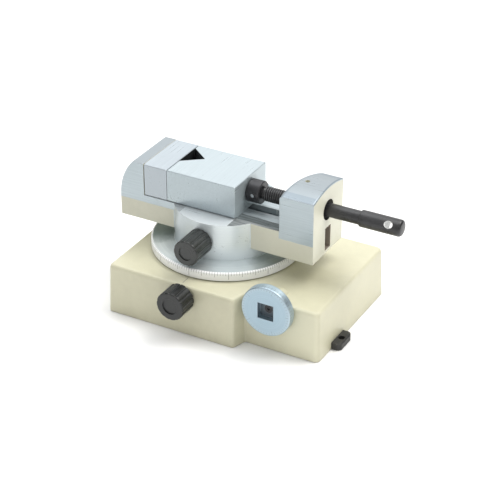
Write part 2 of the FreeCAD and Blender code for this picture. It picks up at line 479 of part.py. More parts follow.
# ---------------------------------------------------------------- lock knobs
def knob(r, x, z, y_in, y_out, n=14):
    """Fluted knob about an axis along -Y, with a shallow recess in its front."""
    k = ycyl(r, x, z, y_out, y_in)
    k = k.makeFillet(0.9, [q for q in k.Edges if abs(q.BoundBox.YMin - y_out) < 0.01 and q.BoundBox.YLength < 0.01])
    k = k.makeChamfer(0.3, [q for q in k.Edges if abs(q.BoundBox.YMin - y_in) < 0.01 and q.BoundBox.YLength < 0.01])
    for i in range(n):
        a = 2 * math.pi * (i + 0.5) / n
        k = k.cut(ycyl(r * 0.115, x + r * 1.055 * math.cos(a), z + r * 1.055 * math.sin(a), y_out - 1, y_in + 1))
    k = k.cut(ycyl(r * 0.55, x, z, y_out - 1, y_out + 0.8))
    return one(k.cut(ycyl(LOCK_R, x, z, y_in - 9.0, y_in + 1)))


KB_IN = BASE_YF - 0.4
save("table_lock_knob", knob(BLOCK_KNOB_R, BLOCK_KNOB_X, BLOCK_KNOB_Z, KB_IN, BLOCK_KNOB_Y1))
save("table_lock_screw", ycyl(LOCK_R, BLOCK_KNOB_X, BLOCK_KNOB_Z, KB_IN - 9.0, -46.1))
pad = ycyl(LOCK_R, BLOCK_KNOB_X, BLOCK_KNOB_Z, -46.0, -23.0).cut(cyl(JOURNAL_R + 0.06, 0, 0, 10, 30))
save("table_lock_pad", one(pad))
KV_IN = -BOSS_R - 0.4
save("vise_lock_knob", knob(VISE_KNOB_R, 0, VISE_KNOB_Z, KV_IN, VISE_KNOB_Y1))
save("vise_lock_screw", ycyl(LOCK_R, 0, VISE_KNOB_Z, KV_IN - 9.0, -23.6))
pad2 = ycyl(LOCK_R, 0, VISE_KNOB_Z, -23.5, -13.0).cut(cyl(POST_R - 1.0 + 0.06, 0, 0, 40, 30))
save("vise_lock_pad", one(pad2))
print("train", idx, idz, WORM_X, "files", len(os.listdir("parts")))
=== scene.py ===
import bpy, bmesh, math
from mathutils import Vector, Matrix


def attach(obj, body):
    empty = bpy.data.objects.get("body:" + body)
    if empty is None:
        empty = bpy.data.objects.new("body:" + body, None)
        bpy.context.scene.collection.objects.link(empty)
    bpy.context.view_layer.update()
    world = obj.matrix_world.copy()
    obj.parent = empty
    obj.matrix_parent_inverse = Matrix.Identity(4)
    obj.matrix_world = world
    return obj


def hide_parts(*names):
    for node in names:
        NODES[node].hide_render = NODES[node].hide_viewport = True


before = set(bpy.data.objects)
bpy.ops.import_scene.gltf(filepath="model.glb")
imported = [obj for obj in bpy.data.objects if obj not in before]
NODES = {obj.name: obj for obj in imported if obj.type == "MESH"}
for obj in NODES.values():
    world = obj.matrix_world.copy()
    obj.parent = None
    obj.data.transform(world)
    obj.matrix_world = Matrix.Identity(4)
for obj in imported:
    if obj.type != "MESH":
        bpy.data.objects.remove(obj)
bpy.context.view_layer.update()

MM = 0.001


# ------------------------------------------------------------------ node helpers
class G:
    """A material's node tree with short calls; vectors and numbers are sockets or constants."""

    def __init__(self, name):
        self.m = bpy.data.materials.new(name)
        self.m.use_nodes = True
        self.t = self.m.node_tree
        self.t.nodes.clear()
        self.out = self.t.nodes.new("ShaderNodeOutputMaterial")
        self.b = self.t.nodes.new("ShaderNodeBsdfPrincipled")
        self.t.links.new(self.b.outputs[0], self.out.inputs[0])
        tc = self.n("ShaderNodeTexCoord")
        self.co = tc.outputs["Object"]
        self.normal = tc.outputs["Normal"]          # in the piece's own frame, so masks turn with it
        self.world_normal = self.n("ShaderNodeNewGeometry").outputs["Normal"]

    def n(self, kind, **props):
        x = self.t.nodes.new(kind)
        for k, v in props.items():
            setattr(x, k, v)
        return x

    def put(self, sock, v):
        if isinstance(v, bpy.types.NodeSocket):
            self.t.links.new(v, sock)
        elif isinstance(v, (tuple, list)) and len(v) == 3 and sock.type == "RGBA":
            sock.default_value = (*v, 1)
        else:
            sock.default_value = v

    def math(self, op, a, b=0.0, c=0.0, clamp=False):
        x = self.n("ShaderNodeMath", operation=op, use_clamp=clamp)
        self.put(x.inputs[0], a)
        self.put(x.inputs[1], b)
        self.put(x.inputs[2], c)
        return x.outputs[0]

    def add(self, a, b): return self.math("ADD", a, b)
    def sub(self, a, b): return self.math("SUBTRACT", a, b)
    def mul(self, a, b): return self.math("MULTIPLY", a, b)
    def mx(self, a, b): return self.math("MAXIMUM", a, b)
    def mn(self, a, b): return self.math("MINIMUM", a, b)
    def ab(self, a): return self.math("ABSOLUTE", a)
    def gt(self, a, b, soft=0.0):
        """1 where a > b, over a band of width soft."""
        if not soft:
            return self.math("GREATER_THAN", a, b)
        return self.rng(self.sub(a, b), -soft, soft, 0, 1)

    def rng(self, v, a, b, c, d):
        x = self.n("ShaderNodeMapRange", clamp=True)
        for i, k in enumerate((v, a, b, c, d)):
            self.put(x.inputs[i], k)
        return x.outputs[0]

    def xyz(self, v):
        x = self.n("ShaderNodeSeparateXYZ")
        self.put(x.inputs[0], v)
        return x.outputs

    def vec(self, a, b, c):
        x = self.n("ShaderNodeCombineXYZ")
        for i, k in enumerate((a, b, c)):
            self.put(x.inputs[i], k)
        return x.outputs[0]

    def scaled(self, s, v=None):
        x = self.n("ShaderNodeMapping")
        self.put(x.inputs["Vector"], v if v is not None else self.co)
        x.inputs["Scale"].default_value = s
        return x.outputs[0]

    def noise(self, scale, detail=3.0, rough=0.55, v=None, dist=0.0):
        x = self.n("ShaderNodeTexNoise")
        self.put(x.inputs["Vector"], v if v is not None else self.co)
        x.inputs["Scale"].default_value = scale
        x.inputs["Detail"].default_value = detail
        x.inputs["Roughness"].default_value = rough
        x.inputs["Distortion"].default_value = dist
        return x.outputs["Fac"]

    def voro(self, scale, feature="F1", v=None):
        x = self.n("ShaderNodeTexVoronoi", feature=feature)
        self.put(x.inputs["Vector"], v if v is not None else self.co)
        x.inputs["Scale"].default_value = scale
        return x.outputs["Distance"]

    def mix(self, f, a, b):
        x = self.n("ShaderNodeMix", data_type="RGBA", clamp_factor=True)
        self.put(x.inputs[0], f)
        self.put(x.inputs[6], a)
        self.put(x.inputs[7], b)
        return x.outputs[2]

    def bevel(self, r):
        x = self.n("ShaderNodeBevel", samples=6)
        x.inputs["Radius"].default_value = r
        return x.outputs[0]

    def bump(self, h, strength, dist, normal=None):
        x = self.n("ShaderNodeBump")
        x.inputs["Strength"].default_value = strength
        x.inputs["Distance"].default_value = dist
        self.put(x.inputs["Height"], h)
        if normal is not None:
            self.put(x.inputs["Normal"], normal)
        return x.outputs[0]

    def edge(self, r, lo=0.03, hi=0.25):
        """1 on edges, from how far a rounded normal leaves the true one."""
        d = self.n("ShaderNodeVectorMath", operation="DOT_PRODUCT")
        self.put(d.inputs[0], self.bevel(r))
        self.put(d.inputs[1], self.world_normal)
        return self.rng(self.sub(1.0, d.outputs["Value"]), lo, hi, 0, 1)

    def set(self, **kw):
        names = dict(color="Base Color", rough="Roughness", metal="Metallic", normal="Normal", coat="Coat Weight",
                     coat_rough="Coat Roughness", spec="Specular IOR Level", aniso="Anisotropic")
        for k, v in kw.items():
            self.put(self.b.inputs[names[k]], v)
        return self.m


def steel_layer(g, color, dark, axis, grit=2600.0, along=45.0):
    """Ground metal: fine straight scratches along an axis, soft stains, returns colour, roughness and height."""
    s = [grit, grit, grit]
    s[axis] = along
    fine = g.noise(1.0, 2.0, 0.6, g.scaled(tuple(s)))
    s2 = [k * 0.32 for k in s]
    s2[axis] = along * 0.4
    broad = g.noise(1.0, 3.0, 0.5, g.scaled(tuple(s2)))
    stain = g.noise(70.0, 5.0, 0.6)
    f = g.add(g.mul(fine, 0.5), g.mul(broad, 0.5))
    c = g.mix(g.rng(f, 0.35, 0.68, 0, 1), dark, color)
    c = g.mix(g.rng(stain, 0.52, 0.75, 0, 0.28), c, tuple(k * 0.80 for k in color))
    r = g.rng(g.add(f, g.mul(stain, 0.5)), 0.55, 1.0, 0.26, 0.44)
    return c, r, f


def paint_layer(g, color, deep):
    """Enamel over cast iron: slow mottling, orange peel, dust specks and the casting's waviness beneath."""
    slow = g.noise(38.0, 4.0, 0.55)
    mid = g.noise(210.0, 4.0, 0.6)
    peel = g.noise(900.0, 2.0, 0.5)
    speck = g.voro(520.0)
    c = g.mix(g.rng(g.add(g.mul(slow, 0.6), g.mul(mid, 0.4)), 0.36, 0.66, 0, 1), deep, color)
    c = g.mix(g.rng(speck, 0.0, 0.13, 0.22, 0), c, tuple(k * 0.55 for k in deep))
    r = g.rng(g.add(mid, g.mul(peel, 0.4)), 0.5, 0.95, 0.34, 0.50)
    h = g.add(g.mul(peel, 0.55), g.add(g.mul(mid, 0.9), g.mul(slow, 0.8)))
    return c, r, h


CREAM, CREAM_D = (0.592, 0.572, 0.418), (0.536, 0.518, 0.374)
VCREAM, VCREAM_D = (0.60, 0.595, 0.49), (0.54, 0.535, 0.435)
STEEL, STEEL_D = (0.505, 0.575, 0.605), (0.415, 0.480, 0.510)
RIM_HIGHLIGHT = (0.93, 0.935, 0.925)
IRON = (0.16, 0.15, 0.14)


def m_base():
    g = G("cream_enamel_base")
    x, y, z = g.xyz(g.co)
    nx, ny, nz = g.xyz(g.normal)
    c, r, h = paint_layer(g, CREAM, CREAM_D)
    # painted highlight: the front faces are lighter towards the right end, by the foot; wear along the edges shows the
    # grey primer, grime gathers low down
    c = g.mix(g.mul(g.rng(x, 0.040, 0.075, 0.0, 0.75), g.rng(ny, -0.4, -0.8, 0, 1)), c, (0.72, 0.70, 0.52))
    e = g.edge(0.0011, 0.05, 0.32)
    wear = g.mul(e, g.rng(g.noise(330.0, 4.0, 0.65), 0.56, 0.66, 0, 1))
    grime = g.mul(g.rng(z, 0.0, 0.007, 1, 0), g.rng(g.noise(90.0, 4.0, 0.6), 0.35, 0.7, 0.0, 0.28))
    c = g.mix(grime, c, (0.33, 0.30, 0.22))
    c = g.mix(g.mul(wear, 0.75), c, (0.47, 0.46, 0.42))
    # zero line engraved on the top in front of the table
    line = g.mul(g.mul(g.gt(0.00022, g.ab(x)), g.gt(-0.0508, y)), g.mul(g.gt(y, -0.0575), g.gt(z, 0.0338)))
    c = g.mix(g.mul(line, 0.8), c, IRON)
    n = g.bump(h, 0.30, 0.00028, g.bevel(0.0006))
    return g.set(color=c, rough=r, normal=n, spec=0.5, coat=0.22, coat_rough=0.18)


def m_vise():
    g = G("vise_enamel_and_machined")
    x, y, z = g.xyz(g.co)
    nx, ny, nz = g.xyz(g.normal)
    cp, rp, hp = paint_layer(g, VCREAM, VCREAM_D)
    # painted highlight: the enamel is lighter towards the upright on the right
    cp = g.mix(g.rng(x, 0.010, 0.045, 0.0, 0.6), cp, (0.70, 0.695, 0.575))
    cs, rs, hs = steel_layer(g, STEEL, STEEL_D, 0)
    wob = g.mul(g.sub(g.noise(160.0, 3.0, 0.6), 0.5), 0.0009)
    zz = g.add(z, wob)
    side = g.mul(g.gt(g.ab(ny), 0.7), g.mul(g.gt(zz, 0.0613, 0.0001), g.gt(g.ab(y), 0.0203)))
    # the rail between the jaw's stop and the upright is painted right up to its top
    side = g.mul(side, g.sub(1.0, g.mul(g.gt(x, 0.0170), g.gt(0.0483, x))))
    top = g.gt(nz, 0.08, 0.03)
    rad = g.math("SQRT", g.add(g.mul(x, x), g.mul(y, y)))
    boss = g.mul(g.gt(rad, 0.0339), g.mul(g.gt(0.0350, rad), g.gt(0.5, g.ab(nz))))
    slot = g.mul(g.gt(0.0072, g.ab(y)), g.mul(g.gt(z, 0.0498), g.gt(0.0664, z)))
    slot = g.mul(slot, g.gt(0.5, g.ab(nx)))
    mach = g.mx(g.mx(side, top), g.mx(boss, slot))
    # the boss is turned: rings round Z
    turn = g.noise(1.0, 2.0, 0.6, g.vec(0.0, 0.0, g.mul(z, 2600.0)))
    # painted shade and highlight: the turned boss is darker on its left and lighter towards the right
    cs = g.mix(boss, cs, g.mix(g.rng(x, -0.014, 0.006, 0.0, 1.0), (0.47, 0.52, 0.535), (0.76, 0.82, 0.835)))
    # painted highlight: the boss's top is lighter at the front
    cs = g.mix(g.mul(g.gt(nz, 0.5), g.mul(g.gt(0.0667, z), g.gt(-0.0185, y))), cs, (0.70, 0.745, 0.765))
    cs = g.mix(g.mul(boss, g.rng(turn, 0.4, 0.65, 0.30, 0.0)), cs, (0.52, 0.58, 0.60))
    # painted shade: the machined tops above the bed are darker, the flattest darkest
    cs = g.mix(g.mul(g.gt(nz, 0.5, 0.2), g.gt(z, 0.070)), cs, g.mix(g.gt(nz, 0.97), (0.24, 0.285, 0.32), (0.31, 0.35, 0.375)))
    e = g.edge(0.0008, 0.05, 0.32)
    wear = g.mul(e, g.rng(g.noise(300.0, 4.0, 0.65), 0.52, 0.64, 0, 1))
    c = g.mix(mach, g.mix(g.mul(wear, 0.7), cp, (0.50, 0.50, 0.47)), g.mix(g.mul(e, 0.35), cs, (0.86, 0.88, 0.90)))
    # the open slot right of the jaw keeps old oily paint
    grime = g.mul(g.gt(x, 0.0485), g.mul(slot, g.gt(0.0039, g.ab(y))))
    c = g.mix(g.mul(grime, 0.9), c, (0.42, 0.36, 0.29))
    # painted shade: the track between the jaw and the upright is darkened in streaks, darkest along the front rail
    track = g.mul(g.gt(nz, 0.5), g.mul(g.gt(0.0664, z), g.mul(g.gt(x, 0.0165), g.gt(0.0484, x))))
    streak = g.rng(g.noise(1.0, 4.0, 0.6, g.scaled((40.0, 700.0, 40.0))), 0.38, 0.62, 0.0, 1.0)
    front = g.gt(-0.0118, g.add(y, g.mul(g.sub(streak, 0.5), 0.003)))
    near = g.mul(g.gt(-0.0036, y), g.sub(1.0, front))
    track_shade = g.mul(track, g.add(g.mul(front, g.rng(streak, 0, 1, 0.82, 0.52)), g.add(g.mul(near, g.rng(streak, 0, 1, 0.34, 0.0)), g.mul(g.gt(y, 0.0036), g.rng(streak, 0, 1, 0.20, 0.0)))))
    c = g.mix(track_shade, c, (0.045, 0.055, 0.052))
    # painted shade: the bed under the V groove is darkened where it shows through the groove
    groove_floor_shade = g.mul(g.gt(0.0664, z), g.mul(g.gt(-0.0190, x), g.mul(g.gt(x, -0.0335), g.gt(nz, 0.5))))
    c = g.mix(g.mul(groove_floor_shade, g.rng(streak, 0, 1, 0.42, 0.12)), c, (0.06, 0.065, 0.065))
    # painted shade: the bore in the upright is darkened round the screw
    hole = g.mul(g.gt(0.0082, g.math("SQRT", g.add(g.mul(y, y), g.math("POWER", g.sub(z, 0.0783), 2.0)))), g.gt(0.5, g.ab(nx)))
    c = g.mix(g.mul(hole, 0.75), c, (0.12, 0.12, 0.12))
    r = g.add(g.mul(mach, rs), g.mul(g.sub(1.0, mach), rp))
    h = g.add(g.mul(mach, g.mul(hs, 0.22)), g.mul(g.sub(1.0, mach), hp))
    n = g.bump(h, 0.30, 0.00025, g.bevel(0.0005))
    return g.set(color=c, rough=r, metal=g.mul(mach, 0.4), normal=n, spec=0.5, coat_rough=0.2)


def m_jaw():
    """Moving jaw: ground all over, with painted shade: the V groove's walls near black, a dark ring on the end face
    round the collar, the side faces darker than the top.
    """
    g = G("ground_moving_jaw")
    x, y, z = g.xyz(g.co)
    nx, ny, nz = g.xyz(g.normal)
    c, r, h = steel_layer(g, (0.515, 0.585, 0.615), (0.45, 0.515, 0.545), 1)
    e = g.edge(0.0006, 0.05, 0.35)
    c = g.mix(g.mul(e, 0.4), c, (0.84, 0.87, 0.89))
    nick = g.rng(g.voro(150.0), 0.0, 0.05, 1, 0)
    c = g.mix(g.mul(nick, 0.2), c, (0.22, 0.25, 0.27))
    inside = g.mul(g.gt(-0.0193, x), g.mul(g.gt(0.5, g.ab(nz)), g.mul(g.gt(0.98, g.ab(ny)), g.gt(nx, -0.95))))
    # painted shade: the side faces are a darker steel than the top
    c = g.mix(g.mul(g.gt(g.ab(ny), 0.7), 0.9), c, g.mix(g.rng(h, 0.35, 0.68, 0, 1), (0.395, 0.455, 0.480), (0.455, 0.520, 0.548)))
    # painted shade: the V groove's walls are near black
    blot = g.rng(g.noise(240.0, 4.0, 0.6), 0.3, 0.7, 0.86, 1.0)
    c = g.mix(g.mul(inside, blot), c, (0.012, 0.013, 0.014))
    # painted shade: a dark ring on the end face round the collar
    zz = g.sub(z, 0.0783)
    rad = g.math("SQRT", g.add(g.mul(y, y), g.mul(zz, zz)))
    collar_ring_shade = g.mul(g.gt(nx, 0.7), g.rng(g.add(rad, g.mul(g.noise(320.0, 4.0, 0.6), 0.006)), 0.0100, 0.0150, 0.30, 0.0))
    c = g.mix(collar_ring_shade, c, (0.05, 0.055, 0.055))
    n = g.bump(h, 0.18, 0.00008, g.bevel(0.0004))
    return g.set(color=c, rough=r, metal=g.mul(0.5, g.sub(1.0, inside)), normal=n, spec=0.45)


def m_ground(name, axis, color=STEEL, dark=STEEL_D, metal=0.55, nicks=0.25):
    g = G(name)
    c, r, h = steel_layer(g, color, dark, axis)
    x, y, z = g.xyz(g.co)
    nx, ny, nz = g.xyz(g.normal)
    # painted shade: the side faces are darker than the top
    c = g.mix(g.mul(g.gt(g.ab(ny), 0.7), 0.85), c, tuple(k * 0.80 for k in color))
    e = g.edge(0.0006, 0.05, 0.35)
    c = g.mix(g.mul(e, 0.4), c, (0.84, 0.87, 0.89))
    c = g.mix(g.mul(g.gt(nx, 0.8), 0.85), c, (0.17, 0.185, 0.195))       # the face that meets the other jaw
    groove_face_shade = g.rng(g.add(g.ab(g.sub(y, 0.005)), g.mul(g.noise(260.0, 4.0, 0.6), 0.003)), 0.0112, 0.0135, 0.9, 0.0)
    c = g.mix(g.mul(g.gt(nx, 0.8), groove_face_shade), c, (0.03, 0.032, 0.034))        # painted shade: the face is darkened where it shows through the V groove
    nick = g.rng(g.voro(150.0), 0.0, 0.05, 1, 0)
    c = g.mix(g.mul(nick, nicks), c, tuple(k * 0.45 for k in dark))
    n = g.bump(h, 0.22, 0.00008, g.bevel(0.0004))
    return g.set(color=c, rough=r, metal=metal, normal=n, spec=0.5)


def m_table():
    """Turned rotary table: concentric tool marks, a degree scale cut in the rim."""
    g = G("turned_table")
    x, y, z = g.xyz(g.co)
    nx, ny, nz = g.xyz(g.normal)
    rad = g.math("SQRT", g.add(g.mul(x, x), g.mul(y, y)))
    rings = g.noise(1.0, 3.0, 0.6, g.vec(g.mul(rad, 2400.0), 0.0, g.mul(z, 1500.0)))
    wide = g.noise(1.0, 2.0, 0.5, g.vec(g.mul(rad, 420.0), g.mul(z, 300.0), 4.0))
    stain = g.noise(55.0, 5.0, 0.6)
    f = g.add(g.mul(rings, 0.6), g.mul(wide, 0.4))
    c = g.mix(g.rng(f, 0.36, 0.66, 0, 1), (0.72, 0.78, 0.80), (0.84, 0.90, 0.91))
    c = g.mix(g.rng(stain, 0.5, 0.75, 0, 0.25), c, (0.60, 0.66, 0.68))
    ang = g.mul(g.math("ARCTAN2", y, x), 180.0 / math.pi)
    rim = g.mul(g.gt(rad, 0.0488), g.gt(z, 0.0352))
    rim_hi = g.mul(rim, g.gt(z, 0.0353))

    def ticks(step, half, zlow):
        p = g.math("PINGPONG", g.add(ang, 360.0), step / 2.0)     # 0 on a mark
        return g.mul(g.gt(half, p), g.gt(z, zlow))
    t = g.mx(ticks(2.0, 0.14, 0.0389), g.mx(ticks(10.0, 0.17, 0.0377), ticks(30.0, 0.20, 0.0363)))
    t = g.mul(t, rim_hi)
    e = g.edge(0.0006, 0.05, 0.35)
    # painted shade and reflection: dark patches on the flange top, at the far left under the vise's overhang, below the
    # knob in front and on the right
    flange = g.mul(g.gt(nz, 0.5), g.gt(rad, 0.0350))
    for deg, half, amount in ((-161.0, 17.0, 0.86), (-66.0, 11.0, 0.12), (-21.0, 12.0, 0.45)):
        ca, sa = math.cos(math.radians(deg)), math.sin(math.radians(deg))
        dot = g.math("DIVIDE", g.add(g.mul(x, ca), g.mul(y, sa)), rad)
        dot = g.add(dot, g.mul(g.sub(g.noise(110.0, 4.0, 0.6), 0.5), 0.06))
        near = g.rng(dot, math.cos(math.radians(half + 9.0)), math.cos(math.radians(half - 8.0)), 0.0, amount)
        c = g.mix(g.mul(near, flange), c, (0.17, 0.225, 0.215))
    # painted highlight: the rim is near white and barely metallic
    c = g.mix(g.mul(rim, 0.92), c, RIM_HIGHLIGHT)
    c = g.mix(g.mul(e, 0.5), c, (0.90, 0.92, 0.94))
    c = g.mix(g.mul(t, 0.7), c, (0.12, 0.12, 0.125))
    r = g.rng(g.add(f, g.mul(stain, 0.4)), 0.5, 1.0, 0.30, 0.44)
    h = g.sub(g.mul(f, 0.25), t)
    n = g.bump(h, 0.35, 0.0001, g.bevel(0.0004))
    tan = g.n("ShaderNodeTangent", direction_type="RADIAL", axis="Z")
    g.put(g.b.inputs["Tangent"], tan.outputs[0])
    return g.set(color=c, rough=r, metal=g.mul(g.sub(0.60, g.mul(rim, 0.58)), g.sub(1.0, t)), normal=n, spec=0.5, aniso=0.7)


def m_dial():
    """Satin dial: fine turned rings, the socket's inside painted dark as shade, divisions on the front and the rim."""
    g = G("satin_dial")
    x, y, z = g.xyz(g.co)
    nx, ny, nz = g.xyz(g.normal)
    dx, dz = g.sub(x, 0.0594), g.sub(z, 0.0312)
    rad = g.math("SQRT", g.add(g.mul(dx, dx), g.mul(dz, dz)))
    rings = g.noise(1.0, 3.0, 0.6, g.vec(g.mul(rad, 2800.0), g.mul(y, 900.0), 0.0))
    wide = g.noise(1.0, 2.0, 0.5, g.vec(g.mul(rad, 330.0), 0.0, 7.0))
    f = g.add(g.mul(rings, 0.55), g.mul(wide, 0.45))
    c = g.mix(g.rng(f, 0.36, 0.66, 0, 1), (0.315, 0.42, 0.49), (0.39, 0.505, 0.575))
    c = g.mix(g.rng(rad, 0.0135, 0.0166, 0, 0.55), c, (0.47, 0.56, 0.61))
    ang = g.mul(g.math("ARCTAN2", dz, dx), 180.0 / math.pi)
    p = g.math("PINGPONG", g.add(ang, 360.0), 3.6)
    p2 = g.math("PINGPONG", g.add(ang, 360.0), 36.0)
    front = g.gt(-0.0579, y)
    tk = g.mul(g.gt(0.45, p), g.mul(g.gt(rad, 0.0148), g.gt(0.0161, rad)))
    tk2 = g.mul(g.gt(0.6, p2), g.mul(g.gt(rad, 0.0135), g.gt(0.0161, rad)))
    t = g.mul(g.mx(tk, tk2), front)
    side = g.mul(g.gt(0.45, p), g.mul(g.gt(rad, 0.0168), g.gt(-0.0552, y)))
    t = g.mx(t, side)
    c = g.mix(g.mul(t, 0.45), c, (0.10, 0.12, 0.14))
    # painted shade: the inside of the square socket is darkened
    socket_shade = g.mul(g.gt(0.0055, g.ab(dx)), g.mul(g.gt(0.0055, g.ab(dz)), g.gt(y, -0.05845)))
    c = g.mix(g.mul(socket_shade, 0.85), c, (0.05, 0.055, 0.06))
    e = g.edge(0.0005, 0.05, 0.35)
    c = g.mix(g.mul(e, 0.4), c, (0.88, 0.92, 0.95))
    r = g.rng(f, 0.35, 0.7, 0.30, 0.46)
    n = g.bump(g.sub(g.mul(f, 0.3), t), 0.30, 0.00009, g.bevel(0.0004))
    return g.set(color=c, rough=r, metal=g.sub(0.75, g.mul(socket_shade, 0.5)), normal=n, spec=0.5)


def m_black(name, color=(0.022, 0.023, 0.024), rough=(0.28, 0.46), metal=0.0, edge=(0.16, 0.17, 0.17), coat=0.0):
    """Black oxide or phenolic: slight cloudiness, polished edges, fingerprints in the gloss."""
    g = G(name)
    cloud = g.noise(120.0, 5.0, 0.6)
    fine = g.noise(1500.0, 2.0, 0.5)
    c = g.mix(g.rng(cloud, 0.35, 0.68, 0, 1), color, tuple(k * 2.1 for k in color))
    e = g.edge(0.0006, 0.04, 0.35)
    c = g.mix(g.mul(e, g.rng(g.noise(260.0, 3.0, 0.6), 0.35, 0.6, 0.25, 1.0)), c, edge)
    r = g.rng(g.add(g.mul(cloud, 0.7), g.mul(fine, 0.3)), 0.35, 0.68, rough[0], rough[1])
    n = g.bump(g.add(fine, g.mul(cloud, 0.4)), 0.18, 0.00007, g.bevel(0.0004))
    return g.set(color=c, rough=r, metal=metal, normal=n, spec=0.5, coat=coat, coat_rough=0.12)


def m_screw():
    """Black oxide screw: the cross hole's bore painted near white, a painted highlight where the tommy bar also rubs it
    bright, thread crests rubbed grey.
    """
    g = G("black_oxide_screw")
    x, y, z = g.xyz(g.co)
    cloud = g.noise(120.0, 5.0, 0.6)
    fine = g.noise(1.0, 3.0, 0.6, g.scaled((2600.0, 160.0, 160.0)))
    c = g.mix(g.rng(cloud, 0.35, 0.68, 0, 1), (0.016, 0.016, 0.017), (0.040, 0.040, 0.042))
    e = g.edge(0.0005, 0.04, 0.35)
    c = g.mix(g.mul(e, g.rng(g.noise(260.0, 3.0, 0.6), 0.35, 0.6, 0.2, 0.9)), c, (0.20, 0.20, 0.21))
    zz = g.sub(z, 0.0783)
    rad = g.math("SQRT", g.add(g.mul(y, y), g.mul(zz, zz)))
    crest = g.mul(g.gt(rad, 0.00475), g.mul(g.gt(x, 0.0266), g.gt(0.0716, x)))
    c = g.mix(g.mul(crest, 0.35), c, (0.20, 0.21, 0.22))
    p = g.add(g.mul(y, 0.5543), g.mul(zz, 0.8323))
    q = g.sub(x, 0.1150)
    hole = g.gt(0.0029, g.math("SQRT", g.add(g.mul(p, p), g.mul(q, q))))
    # painted highlight: the cross hole's bore is near white, where the tommy bar also rubs it
    bore_wear_highlight = g.mul(hole, g.gt(0.00535, rad))
    c = g.mix(g.mul(bore_wear_highlight, 0.95), c, (0.80, 0.81, 0.80))
    r = g.rng(g.add(g.mul(cloud, 0.7), g.mul(fine, 0.3)), 0.35, 0.68, 0.26, 0.42)
    n = g.bump(g.add(fine, g.mul(cloud, 0.4)), 0.20, 0.00006, g.bevel(0.0003))
    return g.set(color=c, rough=r, metal=g.mul(crest, 0.5), normal=n, spec=0.5)


def m_turned(name, color, dark, axis, centre=(0, 0, 0), metal=1.0):
    """Turned bar: rings across the axis."""
    g = G(name)
    comp = g.xyz(g.co)
    k = comp[axis]
    rings = g.noise(1.0, 3.0, 0.6, g.vec(g.mul(k, 2600.0), 0.0, 0.0))
    cloud = g.noise(130.0, 4.0, 0.6)
    c = g.mix(g.rng(rings, 0.36, 0.66, 0, 1), dark, color)
    c = g.mix(g.rng(cloud, 0.5, 0.75, 0, 0.3), c, tuple(q * 0.7 for q in dark))
    e = g.edge(0.0004, 0.05, 0.35)
    c = g.mix(g.mul(e, 0.4), c, tuple(min(1, q * 1.3) for q in color))
    n = g.bump(rings, 0.2, 0.00006, g.bevel(0.0003))
    return g.set(color=c, rough=g.rng(cloud, 0.35, 0.65, 0.24, 0.4), metal=metal, normal=n, spec=0.5)


def m_zinc():
    g = G("zinc_sheet")
    spangle = g.voro(160.0)
    f = g.noise(600.0, 3.0, 0.6)
    c = g.mix(g.rng(spangle, 0.1, 0.7, 0, 1), (0.55, 0.57, 0.58), (0.68, 0.69, 0.69))
    c = g.mix(g.rng(g.noise(50.0, 5.0, 0.6), 0.5, 0.75, 0, 0.4), c, (0.42, 0.41, 0.38))
    return g.set(color=c, rough=g.rng(f, 0.3, 0.7, 0.30, 0.5), metal=0.9, normal=g.bump(f, 0.15, 0.0001, g.bevel(0.0003)))


MAT = {
    "base": m_base(), "vise": m_vise(), "table": m_table(), "dial": m_dial(), "zinc": m_zinc(),
    "jaw": m_jaw(), "fixed": m_ground("ground_fixed_jaw", 1, (0.50, 0.555, 0.595), (0.42, 0.475, 0.515)),
    "steel": m_turned("turned_steel", (0.62, 0.64, 0.66), (0.42, 0.44, 0.46), 1),
    "steelz": m_turned("turned_steel_upright", (0.62, 0.64, 0.66), (0.42, 0.44, 0.46), 2),
    "bronze": m_turned("turned_bronze", (0.60, 0.40, 0.19), (0.38, 0.24, 0.11), 1),
    "bronzez": m_turned("cast_bronze", (0.56, 0.38, 0.19), (0.36, 0.23, 0.11), 2),
    "oxide": m_black("black_oxide", (0.020, 0.020, 0.022), (0.24, 0.42), 0.35, (0.22, 0.22, 0.23)),
    "screw": m_screw(),
    "lug": m_black("black_lug", (0.022, 0.022, 0.021), (0.40, 0.62), 0.1, (0.13, 0.13, 0.13)),
    "bolt": m_black("black_screws", (0.026, 0.026, 0.028), (0.30, 0.46), 0.4, (0.20, 0.20, 0.21)),
    "knob": m_black("phenolic_knob", (0.014, 0.016, 0.015), (0.26, 0.40), 0.0, (0.07, 0.075, 0.073), 0.15),
    # painted shade: a darker copy of the knob's phenolic for the knob on the base
    "knob_shaded": m_black("phenolic_knob_base_shaded", (0.008, 0.009, 0.0088), (0.30, 0.44), 0.0, (0.045, 0.048, 0.047), 0.03),
}

